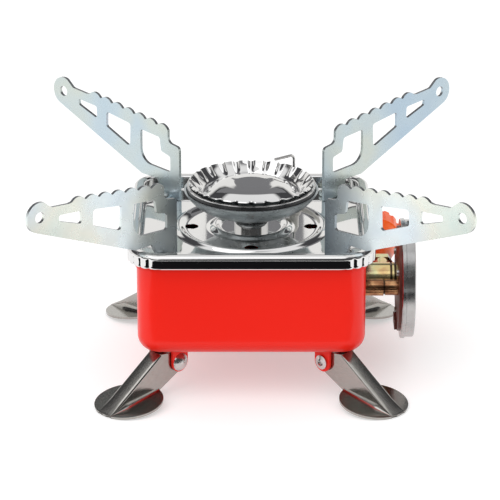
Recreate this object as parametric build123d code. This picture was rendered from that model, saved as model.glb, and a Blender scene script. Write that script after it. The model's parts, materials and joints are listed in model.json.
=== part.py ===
from build123d import *
import math
import os

# Folding camp burner: red pressed case on four folding legs, steel tray lid with four swinging
# pot supports, fluted burner head, and a valve with a cartridge coupling on the +X side.
# Millimetres, Z up, origin on the ground under the middle of the case.

# Case and lid
CASE_HALF = 43.3
CASE_CORNER = 8.6
CASE_WALL = 0.8
CASE_BOTTOM = 18.9
CASE_BOTTOM_FILLET = 6.5
LIP_HALF = 43.95
LIP_START = 53.6
LIP_TOP = 59.8
LIP_WALL = 0.9
TRAY_FLOOR = 55.6
LID_HALF = 46.9
LID_CORNER = 10.4
LID_SHEET = 0.6
LID_TOP = 61.3
SKIRT_BOTTOM = 56.4
TRAY_HALF = 42.25
TRAY_CORNER = 7.6
RIM_FILLET = 1.2
BEAD_HEIGHT = 1.5
OUTER_BEAD = (25.2, 28.4, 30.6)
INNER_BEAD = (11.6, 13.8, 16.8)
VENT_HOLE = 5.2
VENT_RADIUS = 23.1

# Burner head on the Z axis
STEM_RADIUS = 6.5
STEM_THREAD = 4.5
STEM_BORE = 3.0
STEM_FOOT = 44.0
BOWL_BOTTOM = 62.6
BOWL_FLOOR_RADIUS = 11.0
BOWL_RIM = 71.1
BOWL_RADIUS = 26.0
BOWL_SHEET = 0.8
PORT_RING_TOP = 73.0
PORT_RING_INNER = 24.0
PORT_RING_OUTER = 24.9
CAP_CROWN = 74.0
CAP_CROWN_RADIUS = 13.0
CAP_GROOVE = 69.6
CAP_UNDERSIDE = 68.7
CAP_GROOVE_RADIUS = 18.9
CAP_EDGE = 74.4
CAP_EDGE_RADIUS = 23.3
CAP_SHEET = 0.7
FLUTES = 24
FLUTE_RADIUS = 1.2

# Pot supports
ARM_SHEET = 1.2
ARM_ANGLE = 43.2
ARM_LENGTH = 71.8
ARM_PIVOT_ALONG = 6.5
ARM_PIVOT_ASIDE = 3.8
ARM_PIVOT = (30.6, 35.5)
ARM_LIFT = 0.25
ARM_FOOT_END = 9.5
ARM_RELIEF = 6.4
ARM_INNER_TOP = 22.0
ARM_STEP = (6.2, 22.9)
ARM_LAST_CREST = (9.4, 29.9)
ARM_FIRST_CREST = (47.5, 34.5)
ARM_CRESTS = 7
ARM_WAVE_DEPTH = 1.75
ARM_VALLEY_RADIUS = 0.7
ARM_NECK = (52.4, 32.9)
ARM_TIP_NECK = (60.4, 33.6)
ARM_TIP_CENTRE = (66.0, 31.0)
ARM_TIP_RADIUS = 5.8
ARM_TIP_HOLE = 2.1
ARM_EDGE_START = (21.0, 6.4)
ARM_EDGE_END = (67.6, 25.4)
ARM_TAB_HALF = 3.0
ARM_TAB_RADIUS = 3.6
ARM_RIVET_RADIUS = 1.5
ARM_RIVET_HEAD = 2.7
ARM_RIVET_HEAD_HEIGHT = 1.1

# Legs
LEG_FOOT_CENTRE = 46.5
LEG_PIVOT_BACK = 22.8
LEG_PIVOT_HEIGHT = 12.9
LEG_FOOT_RADIUS = 13.2
LEG_SHEET = 0.9
LEG_WIDTH = 6.7
LEG_EYE = 4.2
LEG_WEB_TOP = (8.9, 5.2)
LEG_WEB_END = 33.2
LEG_FLANGE_FOOT = (10.8, -9.6)
LEG_FOOT_TILT = 7.0
LEG_RIVET_RADIUS = 1.5
LEG_RIVET_HEAD = 3.6
LEG_GAP = 0.3
EAR_SHEET = 1.0
EAR_RADIUS = 3.9
EAR_BASE = 0.8

# Gas side on the +X wall
GAS_HEIGHT = 34.0
VALVE_RADIUS = 6.25
VALVE_THREAD = 4.2
VALVE_INNER_END = 38.0
VALVE_OUTER_END = 57.0
VALVE_GROOVES = (54.5, 56.1)
GROOVE_WIDTH = 0.5
GROOVE_DEPTH = 0.6
GAS_BORE = 1.2
LOCK_NUT_FLATS = 11.0
POST_Y = -9.8
POST_RADIUS = 3.25
POST_STUD = 2.0
POST_STEP = 51.5
POST_NUT_FLATS = 7.0
PLATE_SHEET = 1.0
PLATE_RADIUS = 20.6
RING_RADIUS = 23.5
RING_BASE = 0.9
RING_MOUTH = 63.2
RING_WALL = 1.4
RING_HUB_HOLE = 5.2
RING_NOTCH = 6.0
COUPLING_SCREW_RADIUS = 13.5
NIPPLE_BASE = 4.8
NIPPLE_TIP = 2.0
NIPPLE_END = 62.9
SEAL_SEAT = 1.7
SEAL_THICKNESS = 1.0

# Flame control on the valve, turning about Y
SPINDLE_X = 51.4
SPINDLE_RADIUS = 1.5
SPINDLE_START = 3.0
SPINDLE_END = 47.5
SPINDLE_SLACK = 0.05
BOSS_RADIUS = 4.5
BOSS_BORE = 2.1
BOSS_END = 11.0
GLAND_END = 14.6
GLAND_FLATS = 9.0
KNOB_NECK_START = 17.0
KNOB_NECK_RADIUS = 3.0
KNOB_HEAD_START = 41.0
KNOB_HEAD_END = 54.0
KNOB_RADIUS = 9.0
KNOB_FLUTES = 14
KNOB_FLUTE_RADIUS = 1.0

# Gas path inside the case
MIX_RADIUS = 5.5
MIX_BORE = 4.5
MIX_MOUTH = 34.4
MIX_TOP = 51.0
AIR_HOLE = 2.0
JET_RADIUS = 3.0
JET_TIP = 33.6
BURNER_NUT_FLATS = 13.0
BURNER_NUT_HEIGHT = 3.2

# Piezo igniter through the rear wall, and its electrode
IGNITER_X = -22.0
IGNITER_HEIGHT = 41.0
IGNITER_RADIUS = 5.0
IGNITER_BORE = 3.6
IGNITER_INNER_END = 16.0
IGNITER_COLLAR = 7.2
IGNITER_COLLAR_END = 45.6
BUTTON_RADIUS = 3.55
BUTTON_HIDDEN_END = 34.0
BUTTON_END = 51.0
BUTTON_TRAVEL = 5.0
ELECTRODE_AT = (16.8, 21.9)
ELECTRODE_RADIUS = 0.55
ELECTRODE_TOP = 77.4
ELECTRODE_TIP = (9.3, 16.3)
INSULATOR_RADIUS = 2.0
INSULATOR_BOTTOM = 49.0
INSULATOR_TOP = 66.0
LEAD_RADIUS = 1.0
LEAD_Y = 10.5

FROM_BASE = (Align.CENTER, Align.CENTER, Align.MIN)
CORNERS = ["rear_right", "front_right", "front_left", "rear_left"]
ARM_TURNS = [0.0, -90.0, 180.0, 90.0]
ARM_HEADINGS = [ARM_ANGLE, -ARM_ANGLE, ARM_ANGLE - 180.0, 180.0 - ARM_ANGLE]
LEG_HEADINGS = [45.0, -45.0, -135.0, 135.0]


def rounded_block(half, corner, bottom, top):
    """Square block with rounded upright corners between two heights."""
    outline = RectangleRounded(2 * half, 2 * half, corner)
    return Pos(0, 0, bottom) * extrude(outline, top - bottom)


def turned_z(points):
    """Solid of revolution about Z from (radius, height) points."""
    section = make_face(Plane.XZ * Polyline(*points, close=True))
    return revolve(section, Axis.Z)


def turned_x(points, y=0.0, z=GAS_HEIGHT):
    """Solid of revolution about an X line through (y, z), from (x, radius) points."""
    section = make_face(Plane.XY * Polyline(*points, close=True))
    return Pos(0, y, z) * revolve(section, Axis.X)


def rod_x(radius, start, end, y=0.0, z=GAS_HEIGHT):
    return Pos(start, y, z) * Rot(0, 90, 0) * Cylinder(radius, end - start, align=FROM_BASE)


def rod_y(radius, start, end, x, z):
    return Pos(x, start, z) * Rot(-90, 0, 0) * Cylinder(radius, end - start, align=FROM_BASE)


def rod_z(radius, bottom, top, x=0.0, y=0.0):
    return Pos(x, y, bottom) * Cylinder(radius, top - bottom, align=FROM_BASE)


def hex_x(flats, start, end, y, z):
    """Hexagon bar along X with two flats facing +Y and -Y."""
    outline = RegularPolygon(flats / 2, 6, major_radius=False)
    return Pos(start, y, z) * Rot(0, 90, 0) * extrude(outline, end - start)


def polar(radius, degrees):
    angle = math.radians(degrees)
    return (radius * math.cos(angle), radius * math.sin(angle))


def make_case_shell():
    body = rounded_block(CASE_HALF, CASE_CORNER, CASE_BOTTOM, LIP_START)
    body = fillet(body.faces().sort_by(Axis.Z)[0].edges(), CASE_BOTTOM_FILLET)
    body += rounded_block(LIP_HALF, CASE_CORNER + LIP_HALF - CASE_HALF, LIP_START, LIP_TOP)
    inner_half = CASE_HALF - CASE_WALL
    room = rounded_block(inner_half, CASE_CORNER - CASE_WALL, CASE_BOTTOM + CASE_WALL,
                         TRAY_FLOOR - LID_SHEET)
    room = fillet(room.faces().sort_by(Axis.Z)[0].edges(), CASE_BOTTOM_FILLET - CASE_WALL)
    lip_inner = LIP_HALF - LIP_WALL
    mouth = rounded_block(lip_inner, CASE_CORNER + lip_inner - CASE_HALF, TRAY_FLOOR - LID_SHEET, LIP_TOP)
    valve_hole = rod_x(VALVE_THREAD, CASE_HALF - 2 * CASE_WALL, LIP_HALF)
    stud_hole = rod_x(POST_STUD, CASE_HALF - 2 * CASE_WALL, LIP_HALF, POST_Y)
    igniter_hole = rod_y(IGNITER_RADIUS, CASE_HALF - 2 * CASE_WALL, LIP_HALF, IGNITER_X, IGNITER_HEIGHT)
    return body - room - mouth - valve_hole - stud_hole - igniter_hole


def bead_ring(radii, base, height):
    """Round-topped ring whose section is an arc through its foot, crest and foot."""
    inner, crest, outer = radii
    arc = ThreePointArc((inner, base), (crest, base + height), (outer, base))
    section = make_face(Plane.XZ * (Curve() + [arc, Line((outer, base), (inner, base))]))
    return revolve(section, Axis.Z)


def make_tray_lid():
    underside = TRAY_FLOOR - LID_SHEET
    lid = rounded_block(LID_HALF, LID_CORNER, underside, LID_TOP)
    lid = fillet(lid.faces().sort_by(Axis.Z)[-1].edges(), RIM_FILLET)
    lid -= rounded_block(TRAY_HALF, TRAY_CORNER, TRAY_FLOOR, LID_TOP)
    rim_inner_edges = [e for e in lid.edges() if abs(e.center().Z - LID_TOP) < 0.01
                       and max(abs(e.center().X), abs(e.center().Y)) < TRAY_HALF + 0.1]
    lid = fillet(rim_inner_edges, RIM_FILLET)
    channel = rounded_block(LID_HALF - LID_SHEET, LID_CORNER - LID_SHEET, underside, LID_TOP - LID_SHEET)
    tray_back = rounded_block(TRAY_HALF + LID_SHEET, TRAY_CORNER + LID_SHEET, underside, LID_TOP)
    skirt_trim = rounded_block(LID_HALF, LID_CORNER, underside, SKIRT_BOTTOM)
    lid -= channel - tray_back
    lid -= skirt_trim - tray_back
    for radii in (OUTER_BEAD, INNER_BEAD):
        lid += bead_ring(radii, TRAY_FLOOR, BEAD_HEIGHT)
        hollow = (radii[0] + LID_SHEET / 2, radii[1], radii[2] - LID_SHEET / 2)
        lid -= bead_ring(hollow, underside, BEAD_HEIGHT - LID_SHEET / 4)
    lid -= rod_z(STEM_THREAD, underside, LID_TOP)
    for turn in range(4):
        vent_x, vent_y = polar(VENT_RADIUS, 90 * turn)
        lid -= rod_z(VENT_HOLE / 2, underside, LID_TOP, vent_x, vent_y)
        lid -= Rot(0, 0, 90 * turn) * rod_z(ARM_RIVET_RADIUS, underside, LID_TOP, *ARM_PIVOT)
    lid -= rod_z(INSULATOR_RADIUS, underside, LID_TOP, *ELECTRODE_AT)
    return lid


def make_burner_stem():
    return turned_z([(STEM_BORE, STEM_FOOT), (STEM_THREAD, STEM_FOOT), (STEM_THREAD, TRAY_FLOOR),
                     (STEM_RADIUS, TRAY_FLOOR), (STEM_RADIUS, TRAY_FLOOR + 2.6),
                     (STEM_RADIUS - 0.4, TRAY_FLOOR + 2.8),
                     (STEM_RADIUS - 0.4, TRAY_FLOOR + 3.3), (STEM_RADIUS, TRAY_FLOOR + 3.5),
                     (STEM_RADIUS, BOWL_BOTTOM),
                     (STEM_THREAD, BOWL_BOTTOM), (STEM_THREAD, BOWL_BOTTOM + BOWL_SHEET + 1.2),
                     (STEM_BORE, BOWL_BOTTOM + BOWL_SHEET + 1.2)])


def bowl_inner_wall():
    return ThreePointArc((BOWL_RADIUS - BOWL_SHEET, BOWL_RIM), (20.5, 66.3),
                         (BOWL_FLOOR_RADIUS, BOWL_BOTTOM + BOWL_SHEET))


def make_burner_bowl():
    """Shallow pressed bowl: flat floor, round wall and a plain rim, one sheet thick."""
    outer = ThreePointArc((BOWL_FLOOR_RADIUS, BOWL_BOTTOM), (21.0, 65.6), (BOWL_RADIUS, BOWL_RIM))
    inner = bowl_inner_wall()
    lines = [outer, Line(outer @ 1, inner @ 0), inner,
             Line(inner @ 1, (STEM_THREAD, BOWL_BOTTOM + BOWL_SHEET)),
             Line((STEM_THREAD, BOWL_BOTTOM + BOWL_SHEET), (STEM_THREAD, BOWL_BOTTOM)),
             Line((STEM_THREAD, BOWL_BOTTOM), outer @ 0)]
    return revolve(make_face(Plane.XZ * (Curve() + lines)), Axis.Z)


def make_port_ring():
    """Upright band that stands inside the rim of the bowl and holds the cap."""
    wall = bowl_inner_wall()
    centre = wall.arc_center
    foot = centre.Y - math.sqrt(wall.radius ** 2 - (PORT_RING_OUTER - centre.X) ** 2)
    return turned_z([(PORT_RING_INNER, foot), (PORT_RING_OUTER, foot), (PORT_RING_OUTER, PORT_RING_TOP),
                     (PORT_RING_INNER, PORT_RING_TOP)])


def make_burner_cap():
    """Sunken cap: flat crown, cone down to a groove and a fluted wall that rises to the port ring."""
    rise = CAP_EDGE - CAP_GROOVE
    run = CAP_EDGE_RADIUS - CAP_GROOVE_RADIUS
    slant = math.hypot(rise, run)
    aside = CAP_SHEET * rise / slant
    down = CAP_SHEET * run / slant
    cap = turned_z([(0, CAP_CROWN - CAP_SHEET), (CAP_CROWN_RADIUS - 0.3, CAP_CROWN - CAP_SHEET),
                    (CAP_GROOVE_RADIUS, CAP_UNDERSIDE),
                    (CAP_EDGE_RADIUS + aside, CAP_EDGE - down), (CAP_EDGE_RADIUS, CAP_EDGE),
                    (CAP_GROOVE_RADIUS, CAP_GROOVE), (CAP_CROWN_RADIUS, CAP_CROWN), (0, CAP_CROWN)])
    lean = math.degrees(math.atan2(run, rise))
    wall_place = Pos(CAP_GROOVE_RADIUS + aside, 0, CAP_GROOVE - down) * Rot(0, lean, 0)
    flute = wall_place * Pos(0, 0, slant / 2 + 1.5) * Cylinder(FLUTE_RADIUS, slant - 1.0)
    flute &= rod_z(PORT_RING_INNER, CAP_GROOVE - 2, CAP_EDGE)
    for index in range(FLUTES):
        cap += Rot(0, 0, 360 / FLUTES * index) * flute
    return cap


def make_burner_nut():
    outline = RegularPolygon(BURNER_NUT_FLATS / 2, 6, major_radius=False)
    top = TRAY_FLOOR - LID_SHEET
    nut = Pos(0, 0, top - BURNER_NUT_HEIGHT) * extrude(outline, BURNER_NUT_HEIGHT)
    return nut - rod_z(STEM_THREAD, top - BURNER_NUT_HEIGHT, top)


def make_mixing_tube():
    """Elbow: a level tube from the jet and an upright tube round the stem, with two air holes."""
    level = rod_x(MIX_RADIUS, 0, MIX_MOUTH)
    upright = rod_z(MIX_RADIUS, GAS_HEIGHT - MIX_RADIUS, MIX_TOP)
    level_bore = rod_x(MIX_BORE, -MIX_BORE, MIX_MOUTH)
    upright_bore = rod_z(MIX_BORE, GAS_HEIGHT - MIX_BORE, MIX_TOP)
    air_up = rod_z(AIR_HOLE, GAS_HEIGHT - 2 * MIX_RADIUS, GAS_HEIGHT + 2 * MIX_RADIUS, MIX_MOUTH - 7)
    air_side = rod_y(AIR_HOLE, -2 * MIX_RADIUS, 2 * MIX_RADIUS, MIX_MOUTH - 7, GAS_HEIGHT)
    return level + upright - level_bore - upright_bore - air_up - air_side


def make_jet_nozzle():
    return turned_x([(JET_TIP, 0.4), (JET_TIP, 1.6), (JET_TIP + 2.0, JET_RADIUS),
                     (VALVE_INNER_END, JET_RADIUS),
                     (VALVE_INNER_END, GAS_BORE), (JET_TIP + 2.0, GAS_BORE), (JET_TIP + 0.8, 0.4)])


def make_valve_body():
    shoulder = CASE_HALF
    profile = [(VALVE_INNER_END, GAS_BORE), (VALVE_INNER_END, VALVE_THREAD), (shoulder, VALVE_THREAD),
               (shoulder, VALVE_RADIUS - 0.5), (shoulder + 0.5, VALVE_RADIUS)]
    for groove in VALVE_GROOVES:
        floor = VALVE_RADIUS - GROOVE_DEPTH
        profile += [(groove - GROOVE_WIDTH / 2, VALVE_RADIUS), (groove - GROOVE_WIDTH / 2, floor),
                    (groove + GROOVE_WIDTH / 2, floor), (groove + GROOVE_WIDTH / 2, VALVE_RADIUS)]
    profile += [(VALVE_OUTER_END, VALVE_RADIUS), (VALVE_OUTER_END, GAS_BORE)]
    body = turned_x(profile)
    body += rod_y(BOSS_RADIUS, 0, BOSS_END, SPINDLE_X, GAS_HEIGHT) - rod_x(GAS_BORE, SPINDLE_X - 8,
                                                                           SPINDLE_X + 5)
    return body - rod_y(BOSS_BORE, 0, BOSS_END, SPINDLE_X, GAS_HEIGHT)


def make_lock_nut():
    nut = hex_x(LOCK_NUT_FLATS, CASE_HALF - CASE_WALL - 3.0, CASE_HALF - CASE_WALL, 0, GAS_HEIGHT)
    return nut - rod_x(VALVE_THREAD, VALVE_INNER_END, CASE_HALF)


def make_support_post():
    """Round post with a stud through the case wall and a neck where its two lengths meet."""
    return turned_x([(CASE_HALF - 3.6, 0), (CASE_HALF - 3.6, POST_STUD), (CASE_HALF, POST_STUD),
                     (CASE_HALF, POST_RADIUS),
                     (POST_STEP - 0.3, POST_RADIUS), (POST_STEP - 0.3, POST_RADIUS - 0.6),
                     (POST_STEP + 0.3, POST_RADIUS - 0.6),
                     (POST_STEP + 0.3, POST_RADIUS - 0.2), (VALVE_OUTER_END, POST_RADIUS - 0.2),
                     (VALVE_OUTER_END, 0)],
                    POST_Y)


def make_post_nut():
    nut = hex_x(POST_NUT_FLATS, CASE_HALF - CASE_WALL - 2.4, CASE_HALF - CASE_WALL, POST_Y, GAS_HEIGHT)
    return nut - rod_x(POST_STUD, CASE_HALF - 5, CASE_HALF, POST_Y)


def make_back_plate():
    plate = rod_x(PLATE_RADIUS, VALVE_OUTER_END, VALVE_OUTER_END + PLATE_SHEET)
    lip_bottom = GAS_HEIGHT - PLATE_RADIUS + 0.6
    plate += Pos(VALVE_OUTER_END - 0.5, 0, lip_bottom + 2.0) * Box(1.0, 9.0, 4.0)
    plate -= rod_x(NIPPLE_BASE - 1.6, VALVE_OUTER_END, VALVE_OUTER_END + PLATE_SHEET)
    for index in range(3):
        hole_y, hole_z = polar(COUPLING_SCREW_RADIUS, 30 + 120 * index)
        plate -= rod_x(1.25, VALVE_OUTER_END, VALVE_OUTER_END + PLATE_SHEET, hole_y, GAS_HEIGHT + hole_z)
    return plate


def make_coupling_ring():
    """Shallow round socket with a stepped rim, a key notch at the top and three holding lugs."""
    seat = VALVE_OUTER_END + PLATE_SHEET
    inner = RING_RADIUS - RING_WALL
    ring = turned_x([(seat, RING_HUB_HOLE), (seat, RING_RADIUS - 0.3), (seat + 0.3, RING_RADIUS),
                     (seat + 1.6, RING_RADIUS),
                     (seat + 1.8, RING_RADIUS - 0.5), (RING_MOUTH - 0.4, RING_RADIUS - 0.5),
                     (RING_MOUTH, RING_RADIUS - 0.9),
                     (RING_MOUTH, inner), (seat + RING_BASE, inner), (seat + RING_BASE, RING_HUB_HOLE)])
    for index in range(3):
        lug = turned_x([(RING_MOUTH - 1.0, inner - 1.8), (RING_MOUTH - 1.0, inner + 0.1),
                        (RING_MOUTH, inner + 0.1),
                        (RING_MOUTH, inner - 1.8)], 0, 0)
        sector = Rot(150 + 120 * index, 0, 0) * (Pos(RING_MOUTH, RING_RADIUS - 2, 0) * Box(4, 6, 9))
        ring += Pos(0, 0, GAS_HEIGHT) * (lug & sector)
        hole_y, hole_z = polar(COUPLING_SCREW_RADIUS, 30 + 120 * index)
        ring -= rod_x(1.25, seat, seat + RING_BASE, hole_y, GAS_HEIGHT + hole_z)
    return ring - Pos(RING_MOUTH, 0, GAS_HEIGHT + RING_RADIUS) * Box(5.0, RING_NOTCH, 6.0)


def make_coupling_screws():
    screws = []
    for index in range(3):
        screw_y, screw_z = polar(COUPLING_SCREW_RADIUS, 30 + 120 * index)
        seat = VALVE_OUTER_END + PLATE_SHEET + RING_BASE
        shank = VALVE_OUTER_END - 0.8
        screws.append(turned_x([(shank, 0), (shank, 1.25), (seat, 1.25), (seat, 2.4), (seat + 0.7, 2.4),
                                (seat + 1.2, 1.5),
                                (seat + 1.2, 0)], screw_y, GAS_HEIGHT + screw_z))
    return Compound(children=screws)


def make_inlet_nipple():
    plate_back = VALVE_OUTER_END + PLATE_SHEET
    return turned_x([(VALVE_OUTER_END, GAS_BORE), (VALVE_OUTER_END, NIPPLE_BASE - 1.6),
                     (plate_back, NIPPLE_BASE - 1.6),
                     (plate_back, NIPPLE_BASE), (plate_back + 1.6, NIPPLE_BASE),
                     (plate_back + 1.6, SEAL_SEAT),
                     (plate_back + 1.75 + SEAL_THICKNESS, SEAL_SEAT),
                     (plate_back + 1.75 + SEAL_THICKNESS, NIPPLE_TIP),
                     (NIPPLE_END, NIPPLE_TIP), (NIPPLE_END, GAS_BORE)])


def make_inlet_seal():
    start = VALVE_OUTER_END + PLATE_SHEET + 1.6
    end = start + SEAL_THICKNESS
    return turned_x([(start, SEAL_SEAT), (start, NIPPLE_BASE - 0.3), (end - 0.3, NIPPLE_BASE - 0.3),
                     (end, NIPPLE_BASE - 0.8), (end, SEAL_SEAT)])


def make_gland_nut():
    outline = RegularPolygon(GLAND_FLATS / 2, 6, major_radius=False)
    nut = Pos(SPINDLE_X, BOSS_END, GAS_HEIGHT) * Rot(-90, 0, 0) * extrude(outline, GLAND_END - BOSS_END)
    return nut - rod_y(SPINDLE_RADIUS + SPINDLE_SLACK, BOSS_END, GLAND_END, SPINDLE_X, GAS_HEIGHT)


def turned_spindle(points):
    """Solid of revolution about the spindle line, from (y, radius) points."""
    section = make_face(Plane.XY * Polyline(*[(radius, y) for y, radius in points], close=True))
    return Pos(SPINDLE_X, 0, GAS_HEIGHT) * revolve(section, Axis.Y)


def make_valve_spindle():
    return turned_spindle([(SPINDLE_START, 0), (SPINDLE_START + 1.5, SPINDLE_RADIUS),
                           (SPINDLE_END, SPINDLE_RADIUS),
                           (SPINDLE_END, 0)])


def make_spindle_seal():
    middle = BOSS_END - 2.0
    inner = SPINDLE_RADIUS + SPINDLE_SLACK
    return turned_spindle([(middle - 0.6, inner), (middle - 0.6, BOSS_BORE - 0.15),
                           (middle - 0.4, BOSS_BORE),
                           (middle + 0.4, BOSS_BORE), (middle + 0.6, BOSS_BORE - 0.15),
                           (middle + 0.6, inner)])


def make_control_knob():
    """Finger grip with a cone neck, a fluted head and a recess for its screw."""
    knob = turned_spindle([(KNOB_NECK_START, SPINDLE_RADIUS), (KNOB_NECK_START, KNOB_NECK_RADIUS),
                           (KNOB_HEAD_START, KNOB_RADIUS - 0.5), (KNOB_HEAD_START + 0.6, KNOB_RADIUS),
                           (KNOB_HEAD_END - 1.5, KNOB_RADIUS), (KNOB_HEAD_END, KNOB_RADIUS - 1.5),
                           (KNOB_HEAD_END, 3.0),
                           (KNOB_HEAD_END - 3.0, 3.0), (KNOB_HEAD_END - 3.0, 1.1), (SPINDLE_END, 1.1),
                           (SPINDLE_END, SPINDLE_RADIUS)])
    for index in range(KNOB_FLUTES):
        flute_x, flute_z = polar(KNOB_RADIUS + 0.2, 360 / KNOB_FLUTES * index)
        knob -= rod_y(KNOB_FLUTE_RADIUS, KNOB_HEAD_START + 2.0, KNOB_HEAD_END + 1, SPINDLE_X + flute_x,
                      GAS_HEIGHT + flute_z)
    return knob


def make_knob_screw():
    seat = KNOB_HEAD_END - 3.0
    return turned_spindle([(SPINDLE_END, 0), (SPINDLE_END, 1.1), (seat, 1.1), (seat, 2.4),
                           (seat + 1.0, 2.4),
                           (seat + 1.6, 1.6), (seat + 1.6, 0)])


def make_igniter_body():
    body = rod_y(IGNITER_RADIUS, IGNITER_INNER_END, IGNITER_COLLAR_END - 1.0, IGNITER_X, IGNITER_HEIGHT)
    return body - rod_y(IGNITER_BORE, IGNITER_INNER_END + 4.0, IGNITER_COLLAR_END, IGNITER_X,
                        IGNITER_HEIGHT)


def make_igniter_nut():
    nut = rod_y(IGNITER_COLLAR, CASE_HALF, IGNITER_COLLAR_END - 1.0, IGNITER_X, IGNITER_HEIGHT)
    return nut - rod_y(IGNITER_RADIUS, CASE_HALF, IGNITER_COLLAR_END, IGNITER_X, IGNITER_HEIGHT)


def make_igniter_button():
    button = rod_y(BUTTON_RADIUS, BUTTON_HIDDEN_END, BUTTON_END, IGNITER_X, IGNITER_HEIGHT)
    return fillet(button.edges().sort_by(Axis.Y)[-1:], 1.2)


def make_igniter_lead():
    """Lead from the end of the igniter across to the foot of the electrode, held inside the case."""
    foot_x, foot_y = ELECTRODE_AT
    route = FilletPolyline((IGNITER_X, IGNITER_INNER_END, IGNITER_HEIGHT),
                           (IGNITER_X, LEAD_Y, IGNITER_HEIGHT),
                           (foot_x, LEAD_Y, IGNITER_HEIGHT), (foot_x, foot_y, IGNITER_HEIGHT),
                           (foot_x, foot_y, INSULATOR_BOTTOM), radius=5.0)
    section = Plane(origin=route @ 0, z_dir=route % 0) * Circle(LEAD_RADIUS)
    return sweep(section, path=route)


def make_electrode():
    """Wire that stands in the insulator and bends over the cap."""
    foot_x, foot_y = ELECTRODE_AT
    route = FilletPolyline((foot_x, foot_y, INSULATOR_BOTTOM), (foot_x, foot_y, ELECTRODE_TOP),
                           (ELECTRODE_TIP[0], ELECTRODE_TIP[1], ELECTRODE_TOP), radius=2.0)
    section = Plane(origin=route @ 0, z_dir=route % 0) * Circle(ELECTRODE_RADIUS)
    return sweep(section, path=route)


def make_electrode_insulator():
    collar = TRAY_FLOOR + BEAD_HEIGHT + 0.1
    tube = turned_z([(ELECTRODE_RADIUS, INSULATOR_BOTTOM), (INSULATOR_RADIUS, INSULATOR_BOTTOM),
                     (INSULATOR_RADIUS, collar),
                     (INSULATOR_RADIUS + 0.8, collar), (INSULATOR_RADIUS + 0.8, collar + 1.4),
                     (INSULATOR_RADIUS, collar + 1.8), (INSULATOR_RADIUS, INSULATOR_TOP - 2.0),
                     (1.2, INSULATOR_TOP),
                     (ELECTRODE_RADIUS, INSULATOR_TOP)])
    return Pos(*ELECTRODE_AT, 0) * tube


def arm_waves():
    """Valleys and crests of the waved top edge in turn, from the inner end to the outer end."""
    pitch = (ARM_FIRST_CREST[0] - ARM_LAST_CREST[0]) / (ARM_CRESTS - 1)
    rise = (ARM_FIRST_CREST[1] - ARM_LAST_CREST[1]) / (ARM_CRESTS - 1)
    points = []
    for index in range(2 * ARM_CRESTS + 1):
        place = (index - 1) / 2
        along = ARM_LAST_CREST[0] + place * pitch
        height = ARM_LAST_CREST[1] + place * rise
        if index % 2 == 0:
            height -= ARM_WAVE_DEPTH
        points.append((along, height))
    return points


def arm_outline():
    """Side outline of a pot support, along its length and up from its foot."""
    tip_x, tip_z = ARM_TIP_CENTRE
    waves = arm_waves()
    edge_angle = math.atan2(ARM_EDGE_END[1] - ARM_EDGE_START[1], ARM_EDGE_END[0] - ARM_EDGE_START[0])
    round_start = (tip_x - 2.2, tip_z + math.sqrt(ARM_TIP_RADIUS ** 2 - 2.2 ** 2))
    round_end = (tip_x + ARM_TIP_RADIUS * math.sin(edge_angle),
                 tip_z - ARM_TIP_RADIUS * math.cos(edge_angle))
    crests = [ThreePointArc(*waves[index:index + 3]) for index in range(0, 2 * ARM_CRESTS, 2)]
    edges = [Line((0, 0), (0, ARM_INNER_TOP)), Line((0, ARM_INNER_TOP), ARM_STEP),
             Line(ARM_STEP, waves[0]), *crests,
             Line(waves[-1], ARM_NECK), Line(ARM_NECK, ARM_TIP_NECK), Line(ARM_TIP_NECK, round_start),
             ThreePointArc(round_start, (tip_x + ARM_TIP_RADIUS, tip_z), round_end),
             Line(round_end, ARM_EDGE_START), Line(ARM_EDGE_START, (ARM_FOOT_END + 3.0, ARM_RELIEF)),
             Line((ARM_FOOT_END + 3.0, ARM_RELIEF), (ARM_FOOT_END, 0)), Line((ARM_FOOT_END, 0), (0, 0))]
    face = make_face(Curve() + edges)
    rounded = [(0, ARM_INNER_TOP, 1.6), (*ARM_STEP, 2.4), (*waves[-1], 1.2),
               (*ARM_NECK, 3.0), (*ARM_TIP_NECK, 2.0)]
    rounded += [(*valley, ARM_VALLEY_RADIUS) for valley in waves[2:-1:2]]
    for along, height, radius in rounded:
        face = fillet(face.vertices().sort_by_distance((along, height, 0))[0], radius)
    return face


def arm_window(points, radius):
    return fillet(make_face(Polyline(*points, close=True)).vertices(), radius)


def inner_window():
    """Stepped window near the foot, with a wide round at its outer lower corner."""
    corner = (21.7, 11.5)
    face = make_face(Polyline((4.9, 10.6), (4.9, 17.2), (10.0, 18.4), (10.8, 24.0), (21.6, 25.0), corner,
                              close=True))
    face = fillet(face.vertices().sort_by_distance((*corner, 0))[0], 6.0)
    sharp = [(4.9, 10.6), (4.9, 17.2), (10.0, 18.4), (10.8, 24.0), (21.6, 25.0)]
    for point in sharp:
        face = fillet(face.vertices().sort_by_distance((*point, 0))[0], 1.2)
    return face


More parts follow.
